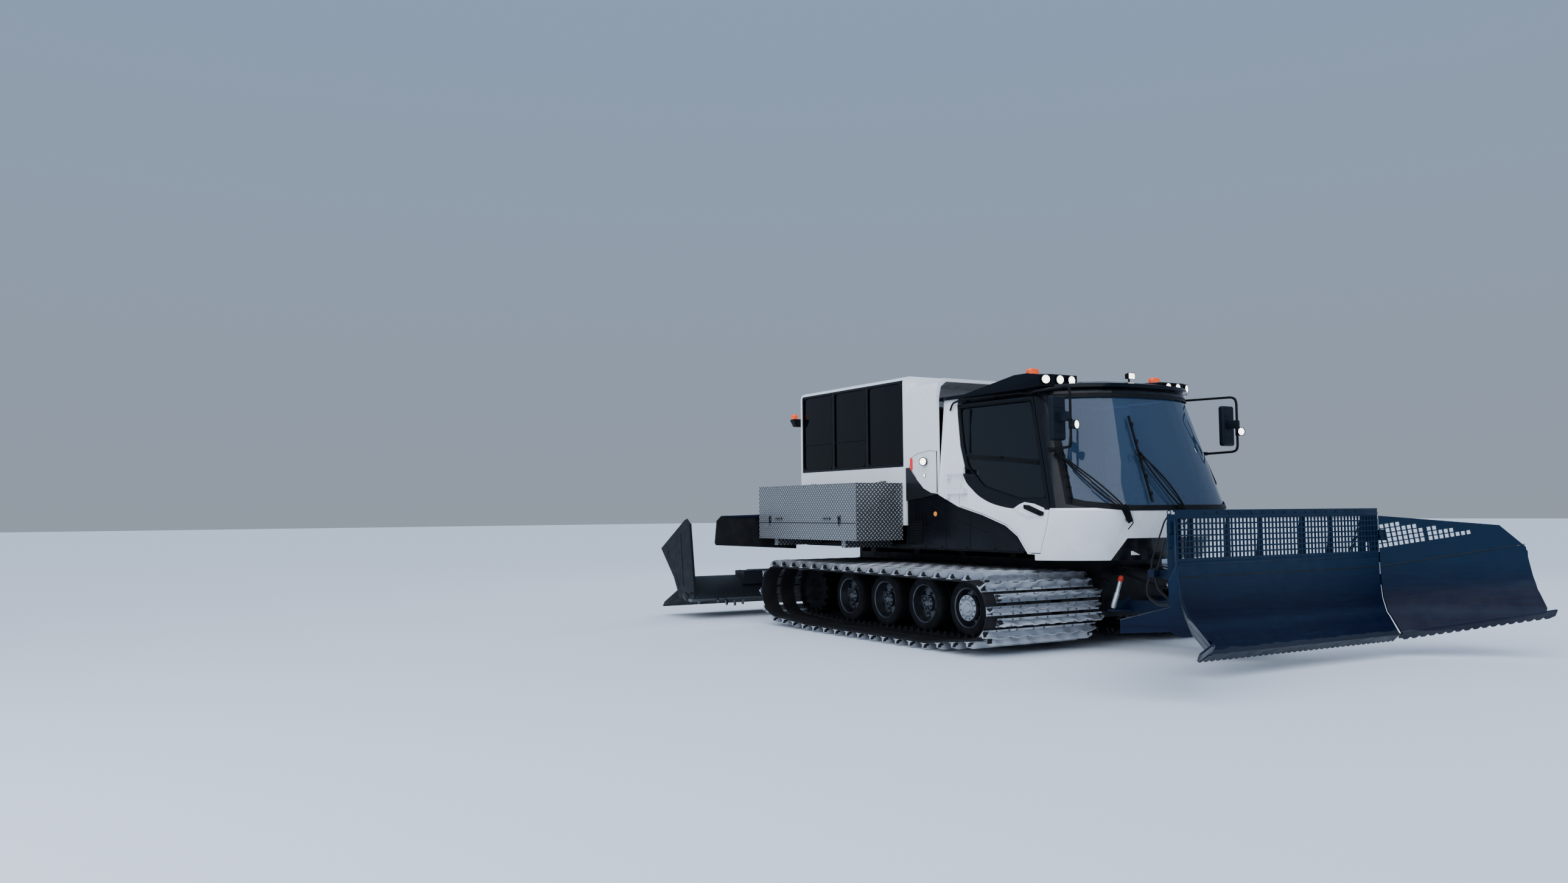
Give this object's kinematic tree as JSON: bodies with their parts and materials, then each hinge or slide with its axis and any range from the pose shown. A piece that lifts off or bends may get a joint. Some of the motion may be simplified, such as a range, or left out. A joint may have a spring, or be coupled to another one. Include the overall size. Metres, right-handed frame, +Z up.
{
  "type": "tracked snow groomer with passenger cabin",
  "caption": "Tracked snow grooming vehicle with a folding front blade, glazed cab, passenger cabin, side boxes and a rear tiller.",
  "frame": {"origin": "on the ground, under the middle of the overall length and width", "axes": "+X forward, +Y to the left, +Z up"},
  "size_m": [9.2965, 5.5416, 3.05],
  "materials": {
    "frame_black": "satin black chassis paint",
    "tyre_rubber": "matt black rubber with pale hub discs",
    "track_alu": "worn aluminium shoes on black rubber belts",
    "engine_grey": "rough grey casting",
    "gloss_black": "gloss black panels",
    "white_paint": "gloss white paint with black lower areas",
    "roof_navy": "gloss blue-black",
    "tinted_glass": "tinted safety glass",
    "seat_fabric": "dark woven seat cloth",
    "dash_plastic": "grained dark plastic",
    "cabin_white": "satin white paint",
    "bench_vinyl": "dark blue vinyl",
    "tread_plate": "five-bar aluminium tread plate",
    "flap_rubber": "matt black rubber",
    "lamp_glass": "clear lamp lenses",
    "amber_plastic": "orange translucent lens",
    "mirror_housing": "dark moulded plastic",
    "wiper_black": "satin black",
    "tool_navy": "dark blue paint",
    "cylinder_black": "black paint",
    "rod_chrome": "bright chromed rod",
    "blade_blue": "dark blue paint worn at the edge",
    "tiller_black": "black paint",
    "rotor_steel": "bare worn steel",
    "finisher_plastic": "flexible black plastic"
  },
  "bodies": {
    "chassis": {"frame": "frame_black", "wheels_right": "tyre_rubber", "wheels_left": "tyre_rubber", "track_right": "track_alu", "track_left": "track_alu", "engine_block": "engine_grey", "engine_housing": "gloss_black", "cab_shell": "white_paint", "cab_roof": "roof_navy", "windscreen": "tinted_glass", "glazing": "tinted_glass", "cab_seats": "seat_fabric", "dashboard": "dash_plastic", "fairing": "white_paint", "passenger_cabin": "cabin_white", "passenger_benches": "bench_vinyl", "side_box_right": "tread_plate", "side_box_left": "tread_plate", "snow_flaps": "flap_rubber", "lamps": "lamp_glass", "beacons": "amber_plastic", "mirrors": "mirror_housing", "wipers": "wiper_black"},
    "cab_door_right": {"door_right": "white_paint", "door_glass_right": "tinted_glass"},
    "cab_door_left": {"door_left": "white_paint", "door_glass_left": "tinted_glass"},
    "rear_door": {"passenger_door": "cabin_white", "passenger_door_glass": "tinted_glass"},
    "box_lid_right": {"lid_right": "tread_plate"},
    "box_lid_left": {"lid_left": "tread_plate"},
    "lift_frame": {"lift_frame": "tool_navy"},
    "lift_barrels": {"lift_barrels": "cylinder_black"},
    "lift_rods": {"lift_rods": "rod_chrome"},
    "swivel_head": {"swivel_head": "tool_navy"},
    "tilt_head": {"tilt_head": "tool_navy"},
    "blade": {"blade_middle": "blade_blue", "blade_grille": "blade_blue"},
    "wing_right": {"wing_right": "blade_blue"},
    "wing_left": {"wing_left": "blade_blue"},
    "rear_frame": {"rear_frame": "tool_navy"},
    "rear_barrels": {"rear_barrels": "cylinder_black"},
    "rear_rods": {"rear_rods": "rod_chrome"},
    "swing_head": {"swing_head": "tool_navy"},
    "tiller": {"tiller_housing": "tiller_black", "finisher": "finisher_plastic"},
    "tiller_rotor": {"tiller_rotor": "rotor_steel"},
    "side_finisher_right": {"side_finisher_right": "finisher_plastic"},
    "side_finisher_left": {"side_finisher_left": "finisher_plastic"}
  },
  "joints": [
    {"name": "cab_door_right_hinge", "type": "hinge", "parent": "chassis", "child": "cab_door_right", "pos_m": [0.18, -1.265, 1.9], "axis": [0, 0, -1], "range_deg": [0, 75]},
    {"name": "cab_door_left_hinge", "type": "hinge", "parent": "chassis", "child": "cab_door_left", "pos_m": [0.18, 1.265, 1.9], "axis": [0, 0, 1], "range_deg": [0, 75]},
    {"name": "rear_door_hinge", "type": "hinge", "parent": "chassis", "child": "rear_door", "pos_m": [-3.025, 0.4, 2], "axis": [0, 0, -1], "range_deg": [0, 100]},
    {"name": "box_lid_right_hinge", "type": "hinge", "parent": "chassis", "child": "box_lid_right", "pos_m": [-1.8, -1.267, 1.792], "axis": [-1, 0, 0], "range_deg": [0, 80]},
    {"name": "box_lid_left_hinge", "type": "hinge", "parent": "chassis", "child": "box_lid_left", "pos_m": [-1.8, 1.267, 1.792], "axis": [1, 0, 0], "range_deg": [0, 80]},
    {"name": "blade_lift", "type": "hinge", "parent": "chassis", "child": "lift_frame", "pos_m": [1.77, 0, 0.44], "axis": [0, -1, 0], "range_deg": [-1, 18]},
    {"name": "lift_barrel_pivot", "type": "hinge", "parent": "chassis", "child": "lift_barrels", "pos_m": [1.775, 0, 0.8], "axis": [0, -1, 0], "range_deg": [-2, 20]},
    {"name": "lift_rod_slide", "type": "slide", "parent": "lift_barrels", "child": "lift_rods", "axis": [0.9774, 0, -0.2113], "range_m": [-0.14, 0.02]},
    {"name": "blade_swing", "type": "hinge", "parent": "lift_frame", "child": "swivel_head", "pos_m": [3.16, 0, 0.535], "axis": [0, 0, 1], "range_deg": [-18, 18]},
    {"name": "blade_tilt", "type": "hinge", "parent": "swivel_head", "child": "tilt_head", "pos_m": [3.35, 0, 0.535], "axis": [1, 0, 0], "range_deg": [-3, 3]},
    {"name": "blade_pitch", "type": "hinge", "parent": "tilt_head", "child": "blade", "pos_m": [3.45, 0, 0.47], "axis": [0, 1, 0], "range_deg": [-6, 3]},
    {"name": "wing_right_fold", "type": "hinge", "parent": "blade", "child": "wing_right", "pos_m": [3.495, -1.486, 0.9], "axis": [0, 0, -1], "range_deg": [-4, 50]},
    {"name": "wing_left_fold", "type": "hinge", "parent": "blade", "child": "wing_left", "pos_m": [3.495, 1.486, 0.9], "axis": [0, 0, 1], "range_deg": [-4, 50]},
    {"name": "rear_lift", "type": "hinge", "parent": "chassis", "child": "rear_frame", "pos_m": [-2.8, 0, 0.56], "axis": [0, 1, 0], "range_deg": [-2, 17]},
    {"name": "rear_barrel_pivot", "type": "hinge", "parent": "chassis", "child": "rear_barrels", "pos_m": [-2.78, 0, 0.93], "axis": [0, 1, 0], "range_deg": [-3, 15]},
    {"name": "rear_rod_slide", "type": "slide", "parent": "rear_barrels", "child": "rear_rods", "axis": [-0.9147, 0, -0.4042], "range_m": [-0.13, 0.03]},
    {"name": "tiller_swing", "type": "hinge", "parent": "rear_frame", "child": "swing_head", "pos_m": [-3.33, 0, 0.56], "axis": [0, 0, 1], "range_deg": [-8, 8]},
    {"name": "tiller_depth", "type": "hinge", "parent": "swing_head", "child": "tiller", "pos_m": [-3.49, 0, 0.56], "axis": [0, 1, 0], "range_deg": [-2, 7]},
    {"name": "rotor_spin", "type": "hinge", "parent": "tiller", "child": "tiller_rotor", "pos_m": [-3.85, 0, 0.335], "axis": [0, 1, 0], "continuous": true},
    {"name": "side_finisher_right_fold", "type": "hinge", "parent": "tiller", "child": "side_finisher_right", "pos_m": [-3.8, -2.59, 0.365], "axis": [1, 0, 0], "range_deg": [0, 80]},
    {"name": "side_finisher_left_fold", "type": "hinge", "parent": "tiller", "child": "side_finisher_left", "pos_m": [-3.8, 2.59, 0.365], "axis": [-1, 0, 0], "range_deg": [0, 80]}
  ],
  "couplings": [
    {"joint": "lift_barrel_pivot", "follows": "blade_lift", "ratio": 0.971},
    {"joint": "lift_rod_slide", "follows": "blade_lift", "m_per_rad": -0.35768},
    {"joint": "rear_barrel_pivot", "follows": "rear_lift", "ratio": 0.6736},
    {"joint": "rear_rod_slide", "follows": "rear_lift", "m_per_rad": -0.34253}
  ]
}
